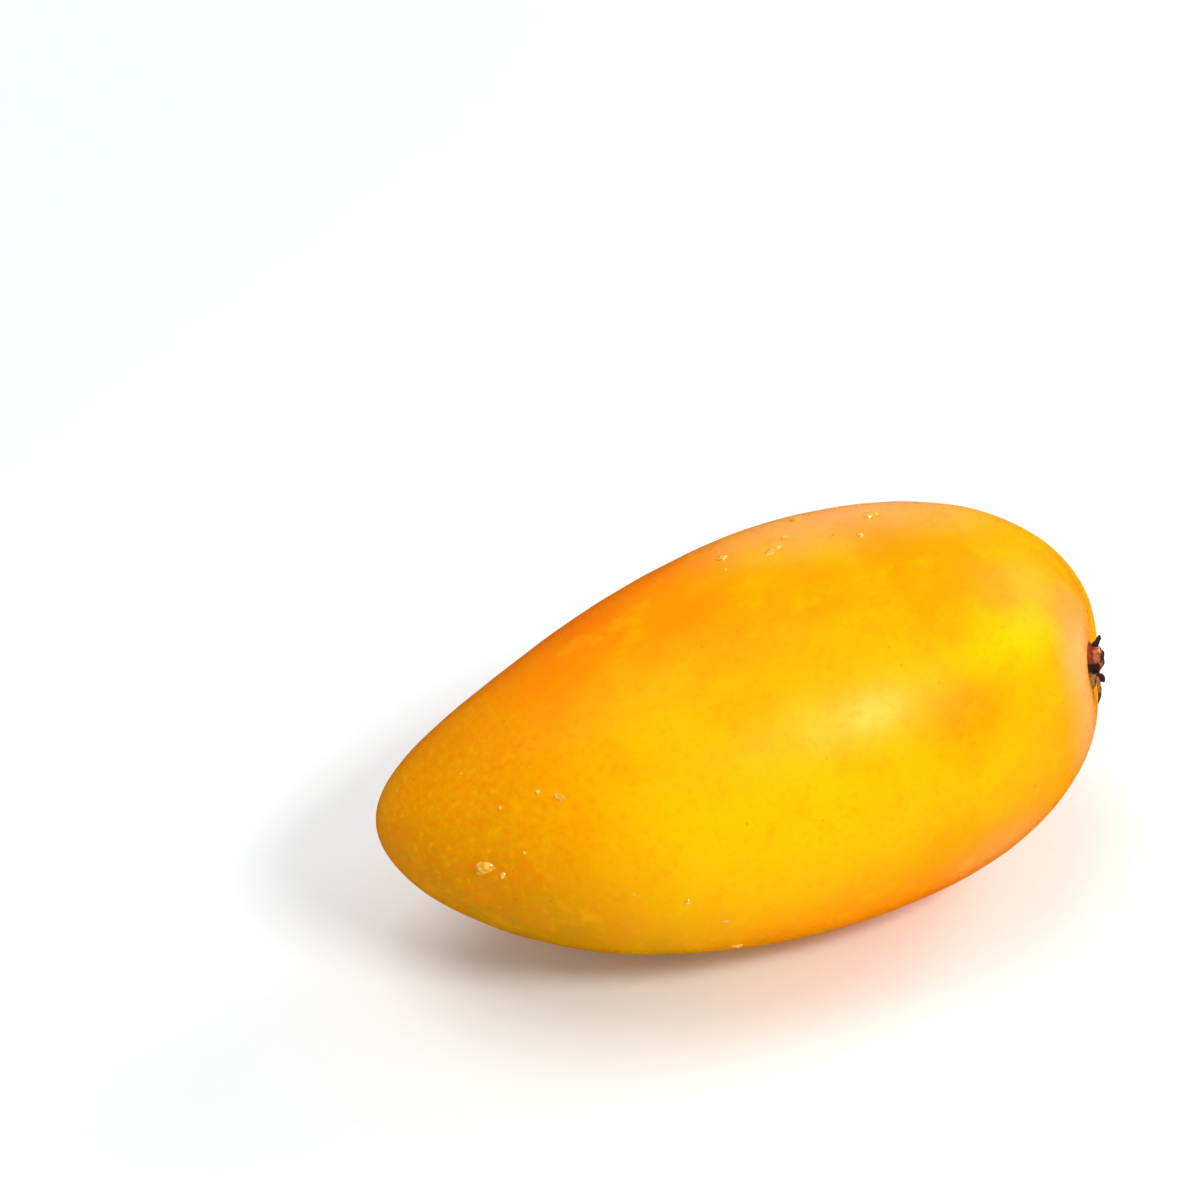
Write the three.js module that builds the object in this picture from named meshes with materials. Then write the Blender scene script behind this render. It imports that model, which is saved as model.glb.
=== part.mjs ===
// A ripe mango lying on its broad side: the fruit, and the withered stem end in its shallow dimple.
// Millimetres, +Z up. The origin is the centre of the flat spot the fruit rests on.
// +X runs along the fruit from its blunt tip to its stem end. +Y is the straighter flank,
// towards which the tip leans. -Y is the fuller flank, towards which the stem faces.

import * as THREE from 'three';
import { mergeVertices } from 'three/addons/utils/BufferGeometryUtils.js';

// Fruit, in its own frame before it is laid down.
const AXIS_LENGTH = 122;
const WIDTH = 66.2;
const THICKNESS = 61;
const STEM_END_FULLNESS = 0.2;
const END_FULLNESS = 0.04;
const TIP_LEAN = 10.1;
const TIP_LEAN_POWER = 6;
const STEM_SHIFT = 4.4;
const STEM_SHIFT_POWER = 4;
const SHOULDER_RISE = 7.6;
const SHOULDER_RISE_POWER = 3;

// The stem's dimple, and its place across the fruit and above its axis.
const DIMPLE_DEPTH = 3.2;
const DIMPLE_RADIUS = 8;
const STEM_SIDE = -12.2;
const STEM_LIFT = 5.7;

// Low, broad unevenness of the flesh: two waves that each run along and around the fruit.
const SWELL_HEIGHT = 0.35;
const SWELL_WAVES = [
  { along: 2.3, around: 2, start: 0.7, share: 1 },
  { along: 4.1, around: -1, start: 2.1, share: 0.6 },
];

// How the fruit lies, and where its flat spot is in the laid-down fruit.
const REST_ROLL = THREE.MathUtils.degToRad(8);
const REST_PITCH = THREE.MathUtils.degToRad(-2.8);
const AXIS_HEIGHT = 29.24;
const FLAT_SPOT_X = 5.4;
const FLAT_SPOT_Y = -1.8;

// Stem end, measured out from the floor of the dimple along the stem.
const BASE_RADIUS = 3.6;
const BASE_START = 0.55;
const BASE_HEIGHT = 0.7;
const BASE_FOOT_BEVEL = 0.5;
const BASE_WORN_EDGE = 0.5;
const STUB_RADIUS = 1.8;
const STUB_START = 1.55;
const STUB_HEIGHT = 1.2;
const STUB_SHIFT = 1.2;
const STUB_SHIFT_BEARING = 52;
const STUB_FOOT_BEVEL = 0.3;
const STUB_RIM_WEAR = 0.3;
const STUB_HOLLOW_RADIUS = 1.2;
const STUB_HOLLOW_SLOPE = 0.5;
const STUB_HOLLOW_DEPTH = 0.7;

const RINGS_ALONG_FRUIT = 64;
const POINTS_AROUND_FRUIT = 48;
const POINTS_AROUND_STEM = 24;
const RINGS_ALONG_SEPAL = 9;
const POINTS_AROUND_SEPAL = 8;

// The withered sepals: where each stands round the stem, how far its foot is from the stem's axis
// and from the dimple's floor, how far it reaches out and up from there, how high its middle arches,
// and its width and thickness. A bearing of 90 is towards the top of the fruit, and 180 towards its
// fuller flank.
const SEPAL_FIRST_RING = 0.3;
const SEPALS = [
  { bearing: 55, foot: 3.45, start: 1.9, reach: 1.7, rise: 0.5, arch: 0.15, width: 1.2, thickness: 0.9 },
  { bearing: 155, foot: 2.9, start: 1.7, reach: -0.1, rise: 1.0, arch: 0.1, width: 1.7, thickness: 0.6 },
  { bearing: 232, foot: 2.2, start: 1.9, reach: 3.7, rise: -0.85, arch: 0.35, width: 1.5, thickness: 0.6 },
  { bearing: 270, foot: 2.5, start: 1.8, reach: 1.1, rise: 0.5, arch: 0.2, width: 1.3, thickness: 0.6 },
  { bearing: 345, foot: 2.9, start: 1.8, reach: 1.5, rise: 0.3, arch: 0.2, width: 1.7, thickness: 0.6 },
];

const FINISHES = {
  skin: { color: 0xf9a80c, roughness: 0.42 },
  stemBase: { color: 0x7a3414, roughness: 0.8 },
  stemStub: { color: 0x8a5230, roughness: 0.85 },
  sepal: { color: 0x2c1a12, roughness: 0.85 },
};

// Share of the full half-width at axial position u, from -1 at the tip to 1 at the stem.
function plainProfile(u) {
  return Math.sqrt(Math.max(0, 1 - u * u)) * (1 + STEM_END_FULLNESS * u + END_FULLNESS * u * u);
}

function widestProfile() {
  const steps = 400;
  let widest = 0;
  for (let step = 0; step <= steps; step += 1) {
    widest = Math.max(widest, plainProfile((2 * step) / steps - 1));
  }
  return widest;
}

const PROFILE_PEAK = widestProfile();

// Height of the unevenness at a point of the skin, in millimetres outwards.
function swell(u, angle) {
  let waves = 0;
  for (const wave of SWELL_WAVES) {
    waves += wave.share * Math.sin(wave.along * u + wave.around * angle + wave.start);
  }
  return SWELL_HEIGHT * waves;
}

// A point of the skin in the fruit's own frame.
function fruitPoint(u, angle) {
  const share = plainProfile(u) / PROFILE_PEAK;
  const towardTip = (1 - u) / 2;
  const towardStem = (1 + u) / 2;
  const across = share * Math.cos(angle);
  const upward = share * Math.sin(angle);
  const puff = swell(u, angle);
  const sideways = (WIDTH / 2 + puff) * across;
  const lift = (THICKNESS / 2 + puff) * upward;
  const offStem = Math.hypot(sideways - STEM_SIDE, lift - STEM_LIFT) / DIMPLE_RADIUS;
  const dimple = u > 0 ? DIMPLE_DEPTH * Math.exp(-offStem * offStem) : 0;
  const shoulder = SHOULDER_RISE * across * towardStem ** SHOULDER_RISE_POWER;
  const lean = TIP_LEAN * towardTip ** TIP_LEAN_POWER;
  const shift = STEM_SHIFT * towardStem ** STEM_SHIFT_POWER;
  return new THREE.Vector3((AXIS_LENGTH / 2) * u + shoulder - dimple, sideways + lean - shift, lift);
}

// Turns the fruit's own frame into the frame in which it lies on its flat spot.
function layDownMatrix() {
  const roll = new THREE.Matrix4().makeRotationX(REST_ROLL);
  const pitch = new THREE.Matrix4().makeRotationY(REST_PITCH);
  const move = new THREE.Matrix4().makeTranslation(-FLAT_SPOT_X, -FLAT_SPOT_Y, AXIS_HEIGHT);
  return move.multiply(pitch).multiply(roll);
}

const LAY_DOWN = layDownMatrix();

// Closes a tube of equal rings with a point at each end.
function closedTube(first, rings, last) {
  const around = rings[0].length;
  const points = [first, ...rings.flat(), last];
  const index = [];
  const end = points.length - 1;
  const lastRing = 1 + (rings.length - 1) * around;
  for (let side = 0; side < around; side += 1) {
    const next = (side + 1) % around;
    index.push(0, 1 + next, 1 + side);
    index.push(lastRing + side, lastRing + next, end);
    for (let ring = 0; ring < rings.length - 1; ring += 1) {
      const near = 1 + ring * around;
      const far = near + around;
      index.push(near + side, near + next, far + next);
      index.push(near + side, far + next, far + side);
    }
  }
  const geometry = new THREE.BufferGeometry().setFromPoints(points);
  geometry.setIndex(index);
  geometry.computeVertexNormals();
  return geometry;
}

function mesh(name, geometry, finish) {
  const material = new THREE.MeshStandardMaterial({ ...finish, metalness: 0 });
  const body = new THREE.Mesh(geometry, material);
  body.name = name;
  return body;
}

function laidDown(point) {
  const placed = point.applyMatrix4(LAY_DOWN);
  placed.z = Math.max(0, placed.z);
  return placed;
}

function fruitGeometry() {
  const rings = [];
  for (let ring = 1; ring < RINGS_ALONG_FRUIT; ring += 1) {
    const u = -Math.cos((Math.PI * ring) / RINGS_ALONG_FRUIT);
    const points = [];
    for (let step = 0; step < POINTS_AROUND_FRUIT; step += 1) {
      const angle = (2 * Math.PI * step) / POINTS_AROUND_FRUIT;
      points.push(laidDown(fruitPoint(u, angle)));
    }
    rings.push(points);
  }
  return closedTube(laidDown(fruitPoint(-1, 0)), rings, laidDown(fruitPoint(1, 0)));
}

// The middle of the dimple, as an axial position and an angle round the fruit.
function stemPlace() {
  const across = (2 * STEM_SIDE) / WIDTH;
  const upward = (2 * STEM_LIFT) / THICKNESS;
  const fullness = (1 + STEM_END_FULLNESS + END_FULLNESS) / PROFILE_PEAK;
  const share = Math.hypot(across, upward) / fullness;
  return { u: Math.sqrt(1 - share * share), angle: Math.atan2(upward, across) };
}

// The stem's frame: its origin is the floor of the dimple, +Z points straight out of the skin,
// and +Y points to the top of the fruit as it lies.
function stemMatrix() {
  const { u, angle } = stemPlace();
  const step = 0.001;
  const floor = fruitPoint(u, angle);
  const along = fruitPoint(u + step, angle).sub(floor);
  const around = fruitPoint(u, angle + step).sub(floor);
  const outward = new THREE.Vector3().crossVectors(around, along).transformDirection(LAY_DOWN);
  const up = new THREE.Vector3(0, 0, 1).projectOnPlane(outward).normalize();
  const side = new THREE.Vector3().crossVectors(up, outward);
  return new THREE.Matrix4().makeBasis(side, up, outward).setPosition(floor.applyMatrix4(LAY_DOWN));
}

// A solid turned from points given as [radius, height], with its axis parallel to the stem's.
function turned(outline, shift, bearing) {
  const profile = outline.map(([radius, height]) => new THREE.Vector2(radius, height));
  const lathe = new THREE.LatheGeometry(profile, POINTS_AROUND_STEM);
  lathe.deleteAttribute('normal');
  lathe.deleteAttribute('uv');
  const solid = mergeVertices(lathe, 1e-4);
  solid.rotateX(Math.PI / 2);
  solid.translate(shift, 0, 0);
  solid.rotateZ(THREE.MathUtils.degToRad(bearing));
  solid.applyMatrix4(stemMatrix());
  return solid;
}

// A squat flared disc with a worn upper edge.
function stemBaseGeometry() {
  const top = BASE_START + BASE_HEIGHT;
  const outline = [
    [0, BASE_START],
    [BASE_RADIUS - BASE_FOOT_BEVEL, BASE_START],
    [BASE_RADIUS, BASE_START + BASE_FOOT_BEVEL / 2],
    [BASE_RADIUS, top - BASE_WORN_EDGE / 2],
    [BASE_RADIUS - BASE_WORN_EDGE, top],
    [0, top],
  ];
  return turned(outline, 0, 0);
}

// The broken stub, with a raised rim round a hollow. It stands a little off the disc's middle.
function stemStubGeometry() {
  const top = STUB_START + STUB_HEIGHT;
  const outline = [
    [0, STUB_START],
    [STUB_RADIUS - STUB_FOOT_BEVEL, STUB_START],
    [STUB_RADIUS, STUB_START + STUB_FOOT_BEVEL],
    [STUB_RADIUS, top - STUB_RIM_WEAR],
    [STUB_RADIUS - STUB_RIM_WEAR, top],
    [STUB_HOLLOW_RADIUS, top],
    [STUB_HOLLOW_RADIUS - STUB_HOLLOW_SLOPE, top - STUB_HOLLOW_DEPTH],
    [0, top - STUB_HOLLOW_DEPTH],
  ];
  return turned(outline, STUB_SHIFT, STUB_SHIFT_BEARING);
}

// One pointed sepal: ovals threaded on an arched line that runs outwards from the stem.
function sepalGeometry(sepal) {
  const start = new THREE.Vector3(sepal.foot, 0, sepal.start);
  const tip = new THREE.Vector3(sepal.foot + sepal.reach, 0, sepal.start + sepal.rise);
  const middle = start.clone().lerp(tip, 0.5);
  middle.z += 2 * sepal.arch;
  const line = new THREE.QuadraticBezierCurve3(start, middle, tip);
  const rings = [];
  for (let ring = 0; ring < RINGS_ALONG_SEPAL; ring += 1) {
    const share = (ring + SEPAL_FIRST_RING) / (RINGS_ALONG_SEPAL + SEPAL_FIRST_RING);
    const centre = line.getPoint(share);
    const along = line.getTangent(share);
    const across = new THREE.Vector3(0, 1, 0);
    const outOf = new THREE.Vector3().crossVectors(across, along);
    const taper = Math.sqrt(1 - share * share);
    const points = [];
    for (let step = 0; step < POINTS_AROUND_SEPAL; step += 1) {
      const angle = (-2 * Math.PI * step) / POINTS_AROUND_SEPAL;
      const point = centre.clone();
      point.addScaledVector(across, (sepal.width / 2) * taper * Math.cos(angle));
      point.addScaledVector(outOf, (sepal.thickness / 2) * taper * Math.sin(angle));
      points.push(point);
    }
    rings.push(points);
  }
  const geometry = closedTube(start, rings, tip);
  geometry.rotateZ(THREE.MathUtils.degToRad(sepal.bearing));
  geometry.applyMatrix4(stemMatrix());
  return geometry;
}

function buildMango() {
  const mango = new THREE.Group();
  mango.name = 'mango';
  mango.add(mesh('fruit', fruitGeometry(), FINISHES.skin));
  mango.add(mesh('stem_base', stemBaseGeometry(), FINISHES.stemBase));
  mango.add(mesh('stem_stub', stemStubGeometry(), FINISHES.stemStub));
  SEPALS.forEach((sepal, index) => {
    mango.add(mesh(`sepal_${index + 1}`, sepalGeometry(sepal), FINISHES.sepal));
  });
  return mango;
}

export default buildMango();
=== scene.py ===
import math
import random

import bmesh
import bpy
import numpy as np
from mathutils import Matrix, Vector, noise


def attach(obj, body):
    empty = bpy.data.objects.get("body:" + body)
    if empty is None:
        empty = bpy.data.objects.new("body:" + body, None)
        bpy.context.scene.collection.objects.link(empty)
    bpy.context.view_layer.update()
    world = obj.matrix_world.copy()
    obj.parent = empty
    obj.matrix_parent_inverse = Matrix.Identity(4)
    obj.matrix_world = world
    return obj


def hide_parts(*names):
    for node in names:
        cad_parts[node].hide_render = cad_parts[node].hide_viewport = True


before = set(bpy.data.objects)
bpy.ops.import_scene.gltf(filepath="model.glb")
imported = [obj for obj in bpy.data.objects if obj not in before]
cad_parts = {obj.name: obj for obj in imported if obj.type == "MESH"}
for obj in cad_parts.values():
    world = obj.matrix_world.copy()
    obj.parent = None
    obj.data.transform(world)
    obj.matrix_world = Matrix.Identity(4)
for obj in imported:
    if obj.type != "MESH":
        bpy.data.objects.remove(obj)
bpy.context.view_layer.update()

MM = 0.001
BODY = "root"

# ---------------------------------------------------------------- dimensions, in millimetres
# The fruit repeats the driving dimensions of the CAD part. The stem end sits a little lower in the
# dimple than the plain CAD pieces that it replaces.

AXIS_LENGTH = 122
WIDTH = 66.2
THICKNESS = 61
STEM_END_FULLNESS = 0.2
END_FULLNESS = 0.04
TIP_LEAN = 10.1
TIP_LEAN_POWER = 6
STEM_SHIFT = 4.4
STEM_SHIFT_POWER = 4
SHOULDER_RISE = 7.6
SHOULDER_RISE_POWER = 3
DIMPLE_DEPTH = 3.2
DIMPLE_RADIUS = 8
STEM_SIDE = -12.2
STEM_LIFT = 5.7

# Broad unevenness of the flesh: radians per unit of u, waves round the fruit, start and share.
SWELL_HEIGHT = 0.35
SWELL_WAVES = [(2.3, 2, 0.7, 1), (4.1, -1, 2.1, 0.6)]

# Fine unevenness of the skin: height, radians per millimetre along x, y and z, and start.
RELIEF_WAVES = [
    (0.06, 0.23, 0.11, -0.19, 1.0),
    (0.03, -0.17, 0.37, 0.29, 2.0),
    (0.012, 0.61, -0.43, 0.52, 0.0),
    (0.008, 0.47, 0.83, -0.71, 4.0),
]

REST_ROLL = math.radians(8)
REST_PITCH = math.radians(-2.8)
AXIS_HEIGHT = 29.24
FLAT_SPOT_X = 5.4
FLAT_SPOT_Y = -1.8

FRUIT_RINGS = 280
FRUIT_AROUND = 240
STEM_AROUND = 96
SEPAL_RINGS = 30
SEPAL_AROUND = 20
DROPLET_RINGS = 12
DROPLET_AROUND = 28

# Outlines of the stem's base and stub, from the bottom up: radius and height.
BASE_OUTLINE = [
    (2.6, -0.5), (3.25, -0.35), (3.55, -0.1), (3.7, 0.15), (3.66, 0.4), (3.45, 0.6),
    (3.15, 0.75), (2.85, 0.84), (2.5, 0.89), (2.2, 0.92), (1.5, 0.95), (0.8, 0.95),
]
STUB_OUTLINE = [
    (1.7, 0.6), (1.95, 0.7), (1.92, 0.95), (1.84, 1.2), (1.8, 1.45), (1.8, 1.7), (1.84, 1.9),
    (1.78, 2.06), (1.62, 2.14), (1.44, 2.1), (1.3, 1.95), (1.16, 1.75), (0.95, 1.6), (0.65, 1.55),
    (0.3, 1.56),
]
BASE_BOTTOM = -0.5
BASE_TOP = 0.95
BASE_CRACK_DEPTH = 0.6
BASE_LUMP_HEIGHT = 0.35
STUB_BOTTOM = 0.6
STUB_HOLLOW_FLOOR = 1.58
STUB_TEAR_START = 1.4
STUB_SHIFT = 1.2
STUB_SHIFT_BEARING = 52

# Sepals: bearing in degrees round the stem, anticlockwise as seen from outside.
SEPALS = [
    {"bearing": 55, "foot": 3.45, "start": 1.6, "reach": 1.4, "rise": 0.35, "arch": 0.15,
     "width": 1.2, "thickness": 0.95},
    {"bearing": 155, "foot": 2.9, "start": 1.3, "reach": -0.1, "rise": 0.9, "arch": 0.1,
     "width": 1.7, "thickness": 0.6},
    {"bearing": 232, "foot": 2.2, "start": 1.75, "reach": 3.9, "rise": -0.85, "arch": 0.35,
     "width": 1.5, "thickness": 0.6},
    {"bearing": 268, "foot": 2.1, "start": 1.7, "reach": 1.3, "rise": 0.15, "arch": 0.3,
     "width": 1.9, "thickness": 0.8},
    {"bearing": 345, "foot": 2.9, "start": 1.4, "reach": 1.2, "rise": 0.2, "arch": 0.2,
     "width": 1.7, "thickness": 0.6},
]
TAN_SEPAL = 3
SEPAL_ROOT_INWARDS = 0.5
SEPAL_ROOT_DOWN = 0.8
SEPAL_HUMP = 0.3
SEPAL_SWAY = 0.25
SEPAL_CHANNEL = 0.22
SEPAL_EDGE_THINNING = 0.45
SEPAL_WRINKLE = 0.1
SEPAL_EDGE_WRINKLE = 0.08
ACROSS = np.array([0, 1, 0])

# Water droplets: axial position, angle round the fruit in degrees, length, width, height and turn.
DROPLETS = [
    (-0.858, 157, 3.2, 2.5, 0.75, 20),
    (-0.826, 161, 1.3, 1.0, 0.40, 70),
    (-0.661, 124, 1.9, 1.2, 0.40, -30),
    (-0.700, 119, 1.0, 0.8, 0.30, 0),
    (-0.448, 176, 1.3, 1.0, 0.35, 10),
    (-0.356, 188, 1.7, 0.9, 0.30, 0),
    (-0.297, 209, 2.0, 1.0, 0.40, 0),
    (0.426, 67, 2.9, 1.9, 0.85, 10),
    (0.267, 55, 2.1, 1.4, 0.60, -15),
    (0.132, 70, 4.2, 1.5, 0.40, 25),
    (0.186, 66, 1.6, 1.2, 0.40, 0),
    (0.019, 63, 2.1, 1.4, 0.55, -10),
    (0.351, 76, 1.7, 1.3, 0.35, 40),
]
DROPLET_SUNK = 0.12
TINY_DROPLETS = 7
TINY_DROPLET_SEED = 5
SHARE_NEAR_TIP = 0.7

# ---------------------------------------------------------------- the fruit's surface


def plain_profile(u):
    """Share of the half-width at axial position u, from -1 at the tip to 1 at the stem."""
    return np.sqrt(np.clip(1 - u * u, 0, None)) * (1 + STEM_END_FULLNESS * u + END_FULLNESS * u * u)


PROFILE_PEAK = plain_profile(np.linspace(-1, 1, 401)).max()


def swell(u, angle):
    """Broad unevenness of the flesh, in millimetres outwards."""
    waves = [
        share * np.sin(along * u + around * angle + start)
        for along, around, start, share in SWELL_WAVES
    ]
    return SWELL_HEIGHT * sum(waves)


def fruit_points(u, angle):
    """Points of the skin, in the fruit's own frame and in millimetres."""
    share = plain_profile(u) / PROFILE_PEAK
    toward_tip = (1 - u) / 2
    toward_stem = (1 + u) / 2
    across = share * np.cos(angle)
    upward = share * np.sin(angle)
    puff = swell(u, angle)
    sideways = (WIDTH / 2 + puff) * across
    lift = (THICKNESS / 2 + puff) * upward
    off_stem = ((sideways - STEM_SIDE) ** 2 + (lift - STEM_LIFT) ** 2) / DIMPLE_RADIUS**2
    dimple = np.where(u > 0, DIMPLE_DEPTH * np.exp(-off_stem), 0)
    x = AXIS_LENGTH / 2 * u + SHOULDER_RISE * across * toward_stem**SHOULDER_RISE_POWER - dimple
    y = sideways + TIP_LEAN * toward_tip**TIP_LEAN_POWER - STEM_SHIFT * toward_stem**STEM_SHIFT_POWER
    return np.stack(np.broadcast_arrays(x, y, lift), axis=-1)


LAY_DOWN = (
    Matrix.Translation((-FLAT_SPOT_X, -FLAT_SPOT_Y, AXIS_HEIGHT))
    @ Matrix.Rotation(REST_PITCH, 4, "Y")
    @ Matrix.Rotation(REST_ROLL, 4, "X")
)


def laid_down(points):
    """Fruit-frame points in the row frame, still in millimetres."""
    turn = np.array(LAY_DOWN.to_3x3())
    return points @ turn.T + np.array(LAY_DOWN.translation)


def skin_point(u, angle):
    """One laid-down point of the skin and its outward normal."""
    step = 1e-3
    here = laid_down(fruit_points(np.float64(u), np.float64(angle)))
    along = laid_down(fruit_points(np.float64(u + step), np.float64(angle))) - here
    around = laid_down(fruit_points(np.float64(u), np.float64(angle + step))) - here
    normal = np.cross(around, along)
    return Vector(here), Vector(normal).normalized()


def stem_place():
    """The middle of the dimple, as an axial position and an angle round the fruit."""
    across = 2 * STEM_SIDE / WIDTH
    upward = 2 * STEM_LIFT / THICKNESS
    fullness = (1 + STEM_END_FULLNESS + END_FULLNESS) / PROFILE_PEAK
    share = math.hypot(across, upward) / fullness
    return math.sqrt(1 - share**2), math.atan2(upward, across)


def stem_matrix():
    """Millimetre frame with its origin on the dimple's floor, +Z out of the skin and +Y up."""
    floor, outward = skin_point(*stem_place())
    up = Vector((0, 0, 1))
    up = (up - outward * up.dot(outward)).normalized()
    side = up.cross(outward)
    return Matrix.Translation(floor) @ Matrix((side, up, outward)).transposed().to_4x4()


STEM = stem_matrix()

# ---------------------------------------------------------------- mesh helpers


def closed_tube(name, rings, first, last):
    """A closed mesh from rings of points in millimetres, with a point at each end."""
    count, around = rings.shape[:2]
    points = np.vstack([[first], rings.reshape(-1, 3), [last]]) * MM
    side = np.arange(around)
    after = (side + 1) % around
    faces = [(0, 1 + b, 1 + a) for a, b in zip(side, after)]
    for ring in range(count - 1):
        near = 1 + ring * around
        far = near + around
        faces += [(near + a, near + b, far + b, far + a) for a, b in zip(side, after)]
    near = 1 + (count - 1) * around
    end = len(points) - 1
    faces += [(near + a, near + b, end) for a, b in zip(side, after)]
    mesh = bpy.data.meshes.new(name)
    mesh.from_pydata(points.tolist(), [], [tuple(int(i) for i in face) for face in faces])
    mesh.update()
    made = bmesh.new()
    made.from_mesh(mesh)
    bmesh.ops.recalc_face_normals(made, faces=made.faces)
    made.to_mesh(mesh)
    made.free()
    mesh.shade_smooth()
    piece = bpy.data.objects.new(name, mesh)
    bpy.context.scene.collection.objects.link(piece)
    return piece


def stem_to_row(points):
    """Stem-frame points in the row frame."""
    return points @ np.array(STEM.to_3x3()).T + np.array(STEM.translation)


def outwards_at(angle):
    """The direction out from the stem's axis at an angle round it, in the stem's frame."""
    return Vector((math.cos(angle), math.sin(angle), 0))


def rough(point, size, seed):
    """Smooth noise from -1 to 1 at a point, with lumps about `size` millimetres across."""
    return noise.noise(Vector(point) / size + Vector((seed, 2.3 * seed, -1.7 * seed)))


def finish_piece(piece, node):
    """Ties a piece to the body and hides the CAD node that it replaces."""
    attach(piece, BODY)
    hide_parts(node)
    return piece


# ---------------------------------------------------------------- fruit


def outward_normals(points):
    """Unit normals of a grid of skin points that runs from the tip to the stem end."""
    outward = np.cross(np.roll(points, -1, 1) - np.roll(points, 1, 1), np.gradient(points, axis=0))
    outward /= np.linalg.norm(outward, axis=-1, keepdims=True) + 1e-9
    outward[0] = outward[1].mean(0)
    outward[-1] = outward[-2].mean(0)
    return outward


def relief(points):
    """Fine unevenness at laid-down points of the skin, in millimetres outwards."""
    x, y, z = points[..., 0], points[..., 1], points[..., 2]
    waves = [
        height * np.sin(per_x * x + per_y * y + per_z * z + start)
        for height, per_x, per_y, per_z, start in RELIEF_WAVES
    ]
    return sum(waves)


def make_fruit():
    """The whole skin, cut level where the fruit rests."""
    u = -np.cos(np.pi * np.arange(FRUIT_RINGS + 1) / FRUIT_RINGS)[:, None]
    angle = (2 * np.pi * np.arange(FRUIT_AROUND) / FRUIT_AROUND)[None, :]
    points = laid_down(fruit_points(u, angle))
    points = points + outward_normals(points) * relief(points)[..., None]
    points[..., 2] = np.maximum(points[..., 2], 0)
    piece = closed_tube("mango_skin", points[1:-1], points[0, 0], points[-1, 0])
    return finish_piece(piece, "fruit")


# ---------------------------------------------------------------- stem end


def stem_tube(name, outline, place, middle, ends):
    """A closed body round the stem, from an outline, a function that places each point, and the
    heights that close it at the bottom and the top, over its middle."""
    angles = [2 * math.pi * step / STEM_AROUND for step in range(STEM_AROUND)]
    rings = [[place(radius, height, angle) for angle in angles] for radius, height in outline]
    first, last = (stem_to_row(np.array([middle.x, middle.y, end])) for end in ends)
    return closed_tube(name, stem_to_row(np.array(rings)), first, last)


def base_point(radius, height, angle):
    """A point of the base: five uneven lobes, cracks that cut inwards and a lumpy top."""
    outwards = outwards_at(angle)
    lobes = 0.22 * math.cos(5 * angle + 0.6) + 0.08 * math.cos(11 * angle)
    point = outwards * (radius + lobes)
    point.z = height
    point -= outwards * BASE_CRACK_DEPTH * max(0, rough(point, 0.8, 3.1))
    point.z += BASE_LUMP_HEIGHT * rough(point, 0.7, 7.7) * min(1, radius / 2)
    return point


def make_stem_base():
    """The flared, cracked disc that the stem grew from."""
    ends = (BASE_BOTTOM, BASE_TOP)
    piece = stem_tube("stem_base_detail", BASE_OUTLINE, base_point, Vector((0, 0, 0)), ends)
    return finish_piece(piece, "stem_base")


STUB_MIDDLE = STUB_SHIFT * outwards_at(math.radians(STUB_SHIFT_BEARING))


def stub_point(radius, height, angle):
    """A point of the stub: ridged bark, and a rim torn to uneven heights."""
    outwards = outwards_at(angle)
    ridges = 0.05 * math.cos(13 * angle + 1.0) + 0.05 * math.cos(7 * angle)
    tear = 0.35 * math.cos(2 * angle + 1.2) + 0.2 * math.cos(5 * angle)
    point = STUB_MIDDLE + outwards * (radius + ridges)
    point.z = height + tear * max(0, height - STUB_TEAR_START)
    point += outwards * 0.14 * rough(point, 0.6, 5.2)
    point.z += 0.15 * rough(point, 0.5, 9.4)
    return point


def make_stem_stub():
    """The broken stub: bark round a raised, torn rim, with a hollow inside."""
    ends = (STUB_BOTTOM, STUB_HOLLOW_FLOOR)
    piece = stem_tube("stem_stub_detail", STUB_OUTLINE, stub_point, STUB_MIDDLE, ends)
    return finish_piece(piece, "stem_stub")


def sepal_spine(sepal):
    """The three points that a sepal's curve is drawn from, before it is turned to its bearing."""
    start = np.array([sepal["foot"] - SEPAL_ROOT_INWARDS, 0, sepal["start"] - SEPAL_ROOT_DOWN])
    tip = np.array([sepal["foot"] + sepal["reach"], 0, sepal["start"] + sepal["rise"]])
    middle = (start + tip) / 2 + np.array([0, 0, 2 * sepal["arch"] + SEPAL_HUMP])
    return start, middle, tip


def sepal_ring(sepal, share, seed):
    """The cross-section of a sepal at a share of the way from its foot to its tip."""
    start, middle, tip = sepal_spine(sepal)
    centre = (1 - share) ** 2 * start + 2 * share * (1 - share) * middle + share**2 * tip
    along = 2 * (1 - share) * (middle - start) + 2 * share * (tip - middle)
    along /= np.linalg.norm(along)
    out_of = np.cross(ACROSS, along)
    sway = SEPAL_SWAY * math.sin(4 * share + seed) * share
    taper = (1 - share**3) ** 0.6 * (1 + 0.15 * math.sin(9 * share + seed))
    ring = []
    for side in range(SEPAL_AROUND):
        angle = -2 * math.pi * side / SEPAL_AROUND
        edge = math.cos(angle)
        wide = sepal["width"] / 2 * taper * edge + sway
        thick = sepal["thickness"] / 2 * taper * math.sin(angle) * (1 - SEPAL_EDGE_THINNING * edge**2)
        channel = SEPAL_CHANNEL * taper * edge**2
        point = centre + ACROSS * wide + out_of * (thick + channel)
        lift = SEPAL_WRINKLE * rough(point, 0.45, seed + 1.5)
        shift = SEPAL_EDGE_WRINKLE * rough(point, 0.3, seed)
        ring.append(point + (out_of * lift + ACROSS * shift) * taper)
    return ring


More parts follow.
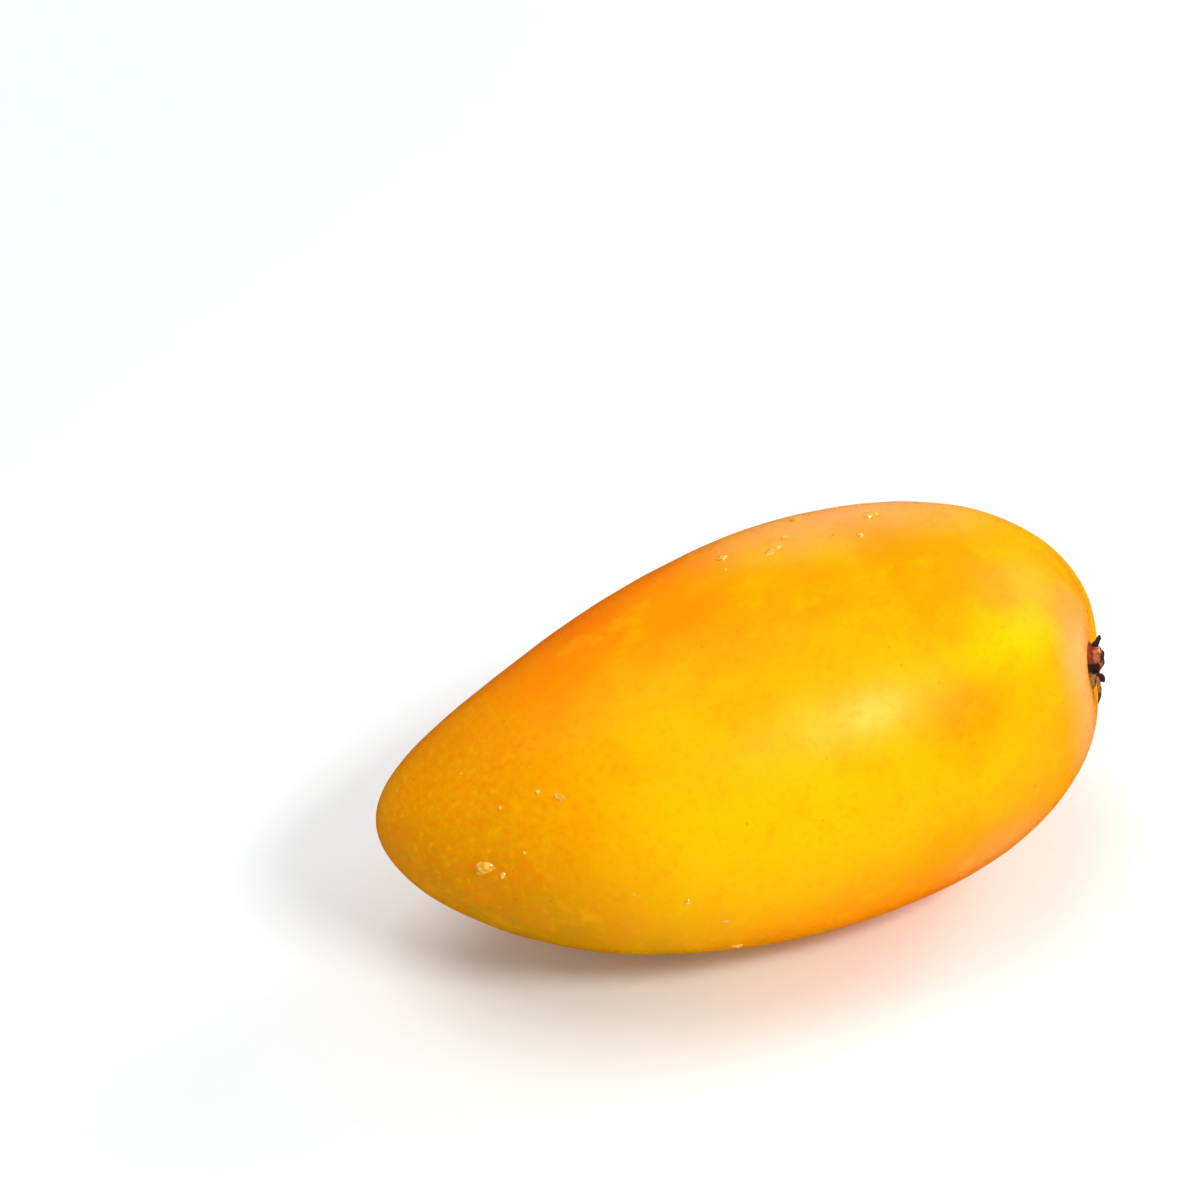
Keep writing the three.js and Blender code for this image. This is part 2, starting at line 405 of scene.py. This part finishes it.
def make_sepal(number, sepal):
    """A withered, channelled sepal that tapers to a torn point."""
    seed = 1.3 * number - 0.8
    start, _, tip = sepal_spine(sepal)
    end = tip + ACROSS * SEPAL_SWAY * math.sin(4 + seed)
    shares = [(step + 0.4) / (SEPAL_RINGS + 0.4) for step in range(SEPAL_RINGS)]
    rings = np.array([sepal_ring(sepal, share, seed) for share in shares])
    spin = np.array(Matrix.Rotation(math.radians(sepal["bearing"]), 3, "Z"))
    first = stem_to_row(spin @ start)
    last = stem_to_row(spin @ end)
    piece = closed_tube(f"sepal_{number}_detail", stem_to_row(rings @ spin.T), first, last)
    return finish_piece(piece, f"sepal_{number}")


# ---------------------------------------------------------------- water


def make_droplet(number, u, degrees, length, width, height, turn):
    """A low bead of water with an uneven edge, sunk a little into the skin."""
    place, normal = skin_point(u, math.radians(degrees))
    ahead, _ = skin_point(u + 0.01, math.radians(degrees))
    along = Matrix.Rotation(math.radians(turn), 3, normal) @ (ahead - place).normalized()
    across = normal.cross(along)
    rings = []
    for step in range(1, DROPLET_RINGS + 1):
        share = step / DROPLET_RINGS
        lift = height * (1 - share**2.4) ** 0.62 - DROPLET_SUNK * share**3
        ring = []
        for side in range(DROPLET_AROUND):
            a = 2 * math.pi * side / DROPLET_AROUND
            wobble = 0.10 * math.sin(2 * a + number) + 0.07 * math.sin(3 * a + 2.1 * number)
            out = share * (1 + share * wobble)
            ahead_by = length / 2 * out * math.cos(a)
            across_by = width / 2 * out * math.sin(a)
            ring.append(place + along * ahead_by + across * across_by + normal * lift)
        rings.append(ring)
    first = place + normal * height
    last = place - normal * 2 * DROPLET_SUNK
    piece = closed_tube(f"droplet_{number}", np.array(rings), np.array(first), np.array(last))
    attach(piece, BODY)
    return piece


def make_droplets():
    """The listed droplets, then tiny ones at random near the tip and the top."""
    pieces = [make_droplet(number, *droplet) for number, droplet in enumerate(DROPLETS, 1)]
    chance = random.Random(TINY_DROPLET_SEED)
    for number in range(len(DROPLETS) + 1, len(DROPLETS) + TINY_DROPLETS + 1):
        near_tip = chance.random() < SHARE_NEAR_TIP
        u = chance.uniform(-0.88, -0.45) if near_tip else chance.uniform(-0.1, 0.5)
        degrees = chance.uniform(95, 190) if near_tip else chance.uniform(50, 75)
        size = chance.uniform(0.5, 0.95)
        pieces.append(make_droplet(number, u, degrees, size, 0.85 * size, 0.3 * size, 0))
    return pieces


# ---------------------------------------------------------------- materials


class Shader:
    """A thin wrapper that adds nodes to one material and links them."""

    def __init__(self, name):
        self.material = bpy.data.materials.new(name)
        self.material.use_nodes = True
        self.tree = self.material.node_tree
        self.tree.nodes.clear()
        self.output = self.tree.nodes.new("ShaderNodeOutputMaterial")
        self.surface = self.tree.nodes.new("ShaderNodeBsdfPrincipled")
        self.tree.links.new(self.surface.outputs[0], self.output.inputs[0])
        self.place = self.tree.nodes.new("ShaderNodeTexCoord").outputs["Object"]

    def put(self, socket, value):
        """Links a node's output to a socket, or sets the socket to a number or a colour."""
        if isinstance(value, bpy.types.NodeSocket):
            self.tree.links.new(value, socket)
        elif isinstance(value, tuple) and len(value) == 3 and len(socket.default_value) == 4:
            socket.default_value = (*value, 1)
        else:
            socket.default_value = value

    def set(self, name, value):
        """Sets one input of the surface, by its name."""
        self.put(self.surface.inputs[name], value)

    def noise(self, size, detail=3.0, roughness=0.5):
        """Noise from 0 to 1 with features about `size` millimetres across."""
        node = self.tree.nodes.new("ShaderNodeTexNoise")
        self.put(node.inputs["Vector"], self.place)
        node.inputs["Scale"].default_value = 1 / (size * MM)
        node.inputs["Detail"].default_value = detail
        node.inputs["Roughness"].default_value = roughness
        return node.outputs["Fac"]

    def cells(self, size):
        """Distance to the nearest of many scattered points, as a share of their spacing."""
        node = self.tree.nodes.new("ShaderNodeTexVoronoi")
        self.put(node.inputs["Vector"], self.place)
        node.inputs["Scale"].default_value = 1 / (size * MM)
        return node.outputs["Distance"]

    def ramp(self, value, low, high, out_low=0.0, out_high=1.0):
        """Smoothly maps low..high to out_low..out_high."""
        node = self.tree.nodes.new("ShaderNodeMapRange")
        node.interpolation_type = "SMOOTHSTEP"
        self.put(node.inputs["Value"], value)
        node.inputs["From Min"].default_value = low
        node.inputs["From Max"].default_value = high
        node.inputs["To Min"].default_value = out_low
        node.inputs["To Max"].default_value = out_high
        return node.outputs["Result"]

    def math(self, operation, a, b):
        node = self.tree.nodes.new("ShaderNodeMath")
        node.operation = operation
        self.put(node.inputs[0], a)
        self.put(node.inputs[1], b)
        return node.outputs[0]

    def wander(self, value, field, amount):
        """A value pushed to and fro by a noise field, by up to half the amount each way."""
        push = self.math("MULTIPLY", self.math("SUBTRACT", field, 0.5), amount)
        return self.math("ADD", value, push)

    def mix(self, share, a, b):
        """Colour a where the share is 0 and colour b where it is 1."""
        node = self.tree.nodes.new("ShaderNodeMix")
        node.data_type = "RGBA"
        self.put(node.inputs["Factor"], share)
        self.put(node.inputs[6], a)
        self.put(node.inputs[7], b)
        return node.outputs[2]

    def axis(self, name):
        """One coordinate of the row frame, in metres."""
        node = self.tree.nodes.new("ShaderNodeSeparateXYZ")
        self.put(node.inputs[0], self.place)
        return node.outputs[name]

    def vector(self, operation, a, b):
        node = self.tree.nodes.new("ShaderNodeVectorMath")
        node.operation = operation
        self.put(node.inputs[0], a)
        node.inputs[1].default_value = b
        return node

    def along(self, origin, direction):
        """How many metres a point is from the origin along a direction of the row frame."""
        offset = self.vector("SUBTRACT", self.place, origin).outputs[0]
        return self.vector("DOT_PRODUCT", offset, direction).outputs["Value"]

    def patch(self, centre, radius, stretch=(1, 1, 1), ragged=0.0):
        """1 at a point of the row frame, in millimetres, falling to 0 at the stretched radius."""
        offset = self.vector("SUBTRACT", self.place, [c * MM for c in centre]).outputs[0]
        offset = self.vector("DIVIDE", offset, [radius * MM * s for s in stretch]).outputs[0]
        reach = self.vector("LENGTH", offset, (0, 0, 0)).outputs["Value"]
        if ragged:
            reach = self.wander(reach, self.noise(9), ragged)
        return self.ramp(reach, 1, 0)

    def bump(self, height, distance, strength, after=None):
        """Bump whose full height is `distance` millimetres, on top of an earlier one if given."""
        node = self.tree.nodes.new("ShaderNodeBump")
        node.inputs["Strength"].default_value = strength
        node.inputs["Distance"].default_value = distance * MM
        self.put(node.inputs["Height"], height)
        if after is not None:
            self.put(node.inputs["Normal"], after)
        return node.outputs[0]


# ---------------------------------------------------------------- skin

GOLD = (1.0, 0.43, 0.0)
YELLOW = (1.0, 0.57, 0.0)
ORANGE = (1.0, 0.29, 0.0)
DEEP_ORANGE = (0.90, 0.21, 0.0)
RED_ORANGE = (1.0, 0.18, 0.0)
MUSTARD = (0.76, 0.26, 0.0)
OLIVE_AND_PAINTED_SHADE = (0.52, 0.255, 0.0)
# Peach is painted reflection: the pale sheen that white surroundings give the waxy skin at glancing
# angles.
PEACH_PAINTED_SHEEN = (1.0, 0.42, 0.14)
SPECK = (0.42, 0.15, 0.0)

# Broad colour zones of the skin: colour, strength, centre and radius in millimetres, stretch, raggedness.
ZONES = [
    # The gold and yellow zones on the front face are partly the fruit's own gold and partly a painted
    # pool of light where the key lamp falls.
    (GOLD, 0.9, (-8, -26, 38), 52, (1.2, 1, 1), 0.5),
    (YELLOW, 0.9, (-16, -24, 37), 38, (1.6, 1, 0.85), 0.7),
    (ORANGE, 1.0, (14, -32, 13), 40, (1.4, 1, 0.55), 0.5),
    (ORANGE, 0.8, (15, -27, 46), 10, (1.3, 1, 0.9), 1.0),
    (ORANGE, 0.5, (34, -24, 34), 16, (1.0, 1, 1.0), 0.8),
    (ORANGE, 0.15, (12, -6, 58), 24, (1.7, 0.8, 1), 0.6),
    (ORANGE, 0.6, (10, 34, 26), 40, (1.5, 1, 0.8), 0.5),
    (RED_ORANGE, 0.95, (-30, 22, 48), 34, (1.4, 1, 1), 0.4),
    # Painted reflection: the peach zones at the shoulder by the stem, the top edge and the right rim
    # stand for the pale sheen at glancing angles.
    (PEACH_PAINTED_SHEEN, 0.85, (43, -19, 43), 14, (0.8, 1, 1.1), 0.6),
    (PEACH_PAINTED_SHEEN, 0.9, (22, 16, 57), 24, (1.6, 0.8, 0.7), 0.4),
    (PEACH_PAINTED_SHEEN, 0.7, (42, -24, 31), 13, (0.9, 0.7, 1.2), 0.5),
    (YELLOW, 0.9, (28, -20, 50), 11, (1.8, 0.7, 0.6), 0.8),
    (RED_ORANGE, 0.35, (14, -34, 10), 38, (1.4, 1, 0.5), 0.5),
    # Painted reflection along the lower right rim.
    (PEACH_PAINTED_SHEEN, 0.45, (23, -31, 18), 12, (1.5, 0.6, 0.9), 0.5),
]


def zone_colours(s, broad):
    """Gold and orange drifting into each other, with the broad zones laid over them."""
    colour = s.mix(s.ramp(broad, 0.38, 0.66), GOLD, ORANGE)
    for tint, strength, centre, radius, stretch, ragged in ZONES:
        zone = s.patch(centre, radius, stretch, ragged)
        colour = s.mix(s.math("MULTIPLY", zone, strength), colour, tint)
    return colour


def tip_colours(s, colour, tip):
    """Mustard towards the tip, and under it olive that is partly the fruit's greenish tint and partly
    painted shade.
    """
    colour = s.mix(s.math("MULTIPLY", tip, 0.6), colour, MUSTARD)
    # Partly painted shade: the underside of the tip is darkened towards olive where it faces the floor.
    under = s.patch((-54, -4, 11), 40, (1.5, 1, 0.8), 0.4)
    return s.mix(s.math("MULTIPLY", under, 0.9), colour, OLIVE_AND_PAINTED_SHADE)


def mottled(s, colour, tip, fine):
    """Blotches a few millimetres across, a fine grain that grows towards the tip, and dark specks."""
    blotches = s.noise(7, 4, 0.6)
    colour = s.mix(s.ramp(blotches, 0.52, 0.72, 0, 0.30), colour, ORANGE)
    colour = s.mix(s.ramp(blotches, 0.46, 0.30, 0, 0.25), colour, YELLOW)
    share = s.math("ADD", s.math("MULTIPLY", tip, 0.40), 0.18)
    colour = s.mix(s.math("MULTIPLY", s.ramp(fine, 0.48, 0.72), share), colour, DEEP_ORANGE)
    colour = s.mix(s.math("MULTIPLY", s.ramp(fine, 0.46, 0.28), share), colour, GOLD)
    specks = s.ramp(s.cells(4.6), 0.075, 0.035)
    return s.mix(s.math("MULTIPLY", specks, 0.4), colour, SPECK)


def pebbled(s, tip):
    """A faint grain everywhere, with pebbles that stand out towards the tip."""
    grain = s.bump(s.noise(0.6, 2, 0.5), 0.02, 0.6)
    share = s.math("ADD", s.math("MULTIPLY", tip, 0.9), 0.1)
    pebbles = s.math("MULTIPLY", s.noise(1.3, 2, 0.5), share)
    return s.bump(pebbles, 0.35, 0.8, grain)


def skin_material():
    """Waxy peel, satin, with a very weak reflection; the pale sheen at its rims is painted into its
    colour by the peach zones.
    """
    s = Shader("mango_skin")
    broad = s.noise(26, 3, 0.55)
    fine = s.noise(1.2, 3, 0.6)
    tip = s.ramp(s.wander(s.axis("X"), broad, 30 * MM), -32 * MM, -60 * MM)
    colour = tip_colours(s, zone_colours(s, broad), tip)
    s.set("Base Color", mottled(s, colour, tip, fine))
    s.set("Roughness", s.ramp(fine, 0.3, 0.7, 0.26, 0.34))
    s.set("Normal", pebbled(s, tip))
    s.set("Specular IOR Level", 0.03)
    s.set("Specular Tint", (1, 0.95, 0.7))
    s.set("Subsurface Weight", 0.04)
    s.set("Subsurface Radius", (1, 0.4, 0.1))
    s.set("Subsurface Scale", 3 * MM)
    return s.material


# ---------------------------------------------------------------- water and stem end

WET_GOLD = (0.82, 0.36, 0.01)
WET_GLINT_GOLD = (1.0, 0.58, 0.12)
RED_BROWN = (0.19, 0.013, 0.002)
PALE_RED_BROWN = (0.32, 0.035, 0.004)
DARK_MAROON = (0.030, 0.003, 0.003)
TAN = (0.20, 0.075, 0.010)
PALE_TAN = (0.42, 0.19, 0.035)
BARK = (0.26, 0.05, 0.015)
PINK_BARK = (0.62, 0.19, 0.07)
PALE_WOOD = (0.85, 0.48, 0.28)
BLACK_RIM = (0.020, 0.003, 0.003)
MAROON = (0.10, 0.012, 0.006)
WITHERED_BLACK = (0.007, 0.002, 0.002)
WITHERED_MAROON = (0.040, 0.006, 0.005)
WITHERED_BROWN = (0.09, 0.025, 0.012)
PALE_SEPAL_TAN = (0.44, 0.20, 0.035)
DRY_TIP = (0.060, 0.028, 0.006)

OUT_OF_STEM = STEM.to_3x3().col[2]


def toward(bearing):
    """The direction in the row frame that a bearing round the stem points in."""
    return STEM.to_3x3() @ outwards_at(math.radians(bearing))


def from_stem(s, direction, grain, amount):
    """Metres from the stem's foot along a direction, made ragged by the grain, in millimetres."""
    return s.wander(s.along(STEM.translation * MM, direction), grain, amount * MM)


def water_material():
    """Beads that carry the skin's colour through, paler than the skin where swirls of painted light catch
    in the water, and very glossy.
    """
    s = Shader("water")
    swirl = s.noise(0.7, 2)
    # The paler gold in the swirls is painted glint, light caught in the water.
    s.set("Base Color", s.mix(s.ramp(swirl, 0.4, 0.65), WET_GOLD, WET_GLINT_GOLD))
    s.set("Roughness", s.ramp(swirl, 0.3, 0.7, 0.04, 0.10))
    s.set("Normal", s.bump(swirl, 0.15, 0.5))
    s.set("Specular IOR Level", 0.35)
    s.set("Coat Weight", 0.25)
    s.set("Coat Roughness", 0.03)
    return s.material


def dry_finish(s, colour, grain):
    """Dry, fibrous plant matter: rough, with the grain raised."""
    s.set("Base Color", colour)
    s.set("Roughness", s.ramp(grain, 0.3, 0.7, 0.6, 0.85))
    s.set("Normal", s.bump(grain, 0.12, 0.9))
    s.set("Specular IOR Level", 0.12)
    return s.material


def stem_base_material():
    """Red-brown on its upper half, with a dark band across it and a tan lower edge."""
    s = Shader("stem_base")
    grain = s.noise(0.7, 4, 0.65)
    upwards = from_stem(s, toward(STUB_SHIFT_BEARING), grain, 0.8)
    colour = s.mix(s.ramp(grain, 0.38, 0.66), RED_BROWN, PALE_RED_BROWN)
    colour = s.mix(s.ramp(upwards, 0.5 * MM, 0), colour, DARK_MAROON)
    tan = s.mix(s.ramp(grain, 0.38, 0.66), TAN, PALE_TAN)
    colour = s.mix(s.ramp(upwards, -1.0 * MM, -1.5 * MM), colour, tan)
    return dry_finish(s, colour, grain)


def stub_material():
    """Pinkish brown wood with pale streaks, a maroon foot and a blackened, torn rim."""
    s = Shader("stem_stub")
    grain = s.noise(0.6, 4, 0.65)
    height = from_stem(s, OUT_OF_STEM, grain, 0.7)
    colour = s.mix(s.ramp(grain, 0.36, 0.64), BARK, PINK_BARK)
    colour = s.mix(s.ramp(s.noise(1.0, 2), 0.54, 0.66, 0, 0.8), colour, PALE_WOOD)
    colour = s.mix(s.ramp(height, 1.9 * MM, 2.2 * MM), colour, BLACK_RIM)
    colour = s.mix(s.ramp(height, 0.9 * MM, 0.6 * MM), colour, MAROON)
    return dry_finish(s, colour, grain)


def dark_sepal_material():
    """Withered to near black, with a maroon cast."""
    s = Shader("sepals")
    grain = s.noise(0.6, 4, 0.65)
    colour = s.mix(s.ramp(grain, 0.38, 0.66), WITHERED_BLACK, WITHERED_MAROON)
    colour = s.mix(s.ramp(s.noise(1.8, 2), 0.52, 0.7, 0, 0.7), colour, WITHERED_BROWN)
    return dry_finish(s, colour, grain)


def tan_sepal_material():
    """Tan, darkening towards its foot and its withered tip."""
    s = Shader("tan_sepal")
    grain = s.noise(0.6, 4, 0.65)
    reach = from_stem(s, toward(SEPALS[TAN_SEPAL - 1]["bearing"]), grain, 1.0)
    colour = s.mix(s.ramp(grain, 0.36, 0.66), TAN, PALE_SEPAL_TAN)
    colour = s.mix(s.ramp(reach, 3.8 * MM, 4.8 * MM), colour, DRY_TIP)
    colour = s.mix(s.ramp(reach, 2.0 * MM, 1.5 * MM), colour, DARK_MAROON)
    return dry_finish(s, colour, grain)


# ---------------------------------------------------------------- stage, in metres

FRUIT_CENTRE = Vector((-FLAT_SPOT_X, -FLAT_SPOT_Y, AXIS_HEIGHT)) * MM
CAMERA_AZIMUTH = math.radians(-31)
CAMERA_ELEVATION = math.radians(37.5)
CAMERA_DISTANCE = 0.62
CAMERA_LENS = 117.85
CAMERA_SENSOR = 36
AIM_LEFT = 0.0248
AIM_ABOVE = 0.0225

FLOOR_HALF_WIDTH = 4.0
FLOOR_GLOW = 0.03
FAR_FLOOR_GLOW = 0.6
GLOW_RADIUS = 1.2

WORLD_STRENGTH = 0.42
BACKDROP_STRENGTH = 1.0
WHITE = (1, 1, 1)
WARM_WHITE = (1, 0.98, 0.94)

# Lights: name, direction from the fruit, distance, width, height, watts, colour and what they light.
LIGHTS = [
    ("key", (0.16, -0.68, 0.72), 0.8, 0.32, 0.14, 3.2, WARM_WHITE, "diffuse"),
    ("gleam", (0.20, -0.69, 0.70), 0.8, 0.15, 0.26, 18, WARM_WHITE, "gloss"),
    ("side", (0.95, 0.1, 0.5), 0.9, 0.4, 0.4, 3.0, WHITE, "both"),
    ("overhead", (-0.15, 0.2, 1), 1.2, 0.8, 0.8, 5.2, WHITE, "both"),
]


def floor_material():
    """Matte and pale, glowing a little more towards the horizon in what the camera sees."""
    s = Shader("pale_floor")
    seen = s.tree.nodes.new("ShaderNodeLightPath").outputs["Is Camera Ray"]
    far = s.ramp(s.patch((0, 0, 0), GLOW_RADIUS / MM), 0.9, 0.2, 0, FAR_FLOOR_GLOW)
    s.set("Base Color", (0.90, 0.94, 0.96))
    s.set("Emission Color", WHITE)
    s.set("Emission Strength", s.math("ADD", s.math("MULTIPLY", far, seen), FLOOR_GLOW))
    s.set("Roughness", 0.6)
    s.set("Specular IOR Level", 0.2)
    return s.material


def make_floor():
    """A wide flat floor that the skin's gloss doesn't reflect."""
    half = FLOOR_HALF_WIDTH
    corners = [(-half, -half, 0), (half, -half, 0), (half, half, 0), (-half, half, 0)]
    mesh = bpy.data.meshes.new("floor")
    mesh.from_pydata(corners, [], [(0, 1, 2, 3)])
    floor = bpy.data.objects.new("floor", mesh)
    bpy.context.scene.collection.objects.link(floor)
    floor.data.materials.append(floor_material())
    floor.visible_glossy = False


def make_camera():
    """Looks past the fruit's upper left, so that the fruit sits low and to the right in the picture."""
    back = Vector((
        math.sin(CAMERA_AZIMUTH) * math.cos(CAMERA_ELEVATION),
        -math.cos(CAMERA_AZIMUTH) * math.cos(CAMERA_ELEVATION),
        math.sin(CAMERA_ELEVATION),
    ))
    right = Vector((math.cos(CAMERA_AZIMUTH), math.sin(CAMERA_AZIMUTH), 0))
    up = back.cross(right)
    data = bpy.data.cameras.new("camera")
    data.lens = CAMERA_LENS
    data.sensor_width = CAMERA_SENSOR
    camera = bpy.data.objects.new("camera", data)
    camera.location = FRUIT_CENTRE + back * CAMERA_DISTANCE
    aim = FRUIT_CENTRE - right * AIM_LEFT + up * AIM_ABOVE
    forward = (aim - camera.location).normalized()
    level = forward.cross(up).normalized()
    turn = Matrix((level, level.cross(forward), -forward)).transposed()
    camera.rotation_mode = "QUATERNION"
    camera.rotation_quaternion = turn.to_quaternion()
    bpy.context.scene.collection.objects.link(camera)
    bpy.context.scene.camera = camera


def area_light(name, direction, distance, width, height, power, colour, lit):
    """A rectangular light aimed at the fruit, which may light only its diffuse colour or its gloss."""
    data = bpy.data.lights.new(name, "AREA")
    data.shape = "RECTANGLE"
    data.size = width
    data.size_y = height
    data.energy = power
    data.color = colour
    light = bpy.data.objects.new(name, data)
    light.visible_diffuse = lit != "gloss"
    light.visible_glossy = lit != "diffuse"
    towards = Vector(direction).normalized()
    light.location = FRUIT_CENTRE + towards * distance
    light.rotation_mode = "QUATERNION"
    light.rotation_quaternion = towards.to_track_quat("Z", "Y")
    bpy.context.scene.collection.objects.link(light)


def make_world():
    """White surroundings: dim as light, bright as a backdrop, and absent from reflections."""
    world = bpy.data.worlds.new("studio")
    world.use_nodes = True
    tree = world.node_tree
    background = tree.nodes["Background"]
    background.inputs["Color"].default_value = (1, 1, 1, 1)
    background.inputs["Strength"].default_value = WORLD_STRENGTH
    backdrop = tree.nodes.new("ShaderNodeBackground")
    backdrop.inputs["Color"].default_value = (1, 1, 1, 1)
    backdrop.inputs["Strength"].default_value = BACKDROP_STRENGTH
    seen = tree.nodes.new("ShaderNodeLightPath").outputs["Is Camera Ray"]
    either = tree.nodes.new("ShaderNodeMixShader")
    tree.links.new(seen, either.inputs[0])
    tree.links.new(background.outputs[0], either.inputs[1])
    tree.links.new(backdrop.outputs[0], either.inputs[2])
    tree.links.new(either.outputs[0], tree.nodes["World Output"].inputs["Surface"])
    bpy.context.scene.world = world
    world.cycles_visibility.glossy = False


# ---------------------------------------------------------------- build

make_camera()
make_floor()
make_world()
for light in LIGHTS:
    area_light(*light)

make_fruit().data.materials.append(skin_material())
make_stem_base().data.materials.append(stem_base_material())
make_stem_stub().data.materials.append(stub_material())
dark_sepal = dark_sepal_material()
for number, sepal in enumerate(SEPALS, 1):
    piece = make_sepal(number, sepal)
    piece.data.materials.append(tan_sepal_material() if number == TAN_SEPAL else dark_sepal)

water = water_material()
for droplet in make_droplets():
    droplet.data.materials.append(water)

bpy.context.scene.view_settings.view_transform = "Standard"

bpy.context.view_layer.update()
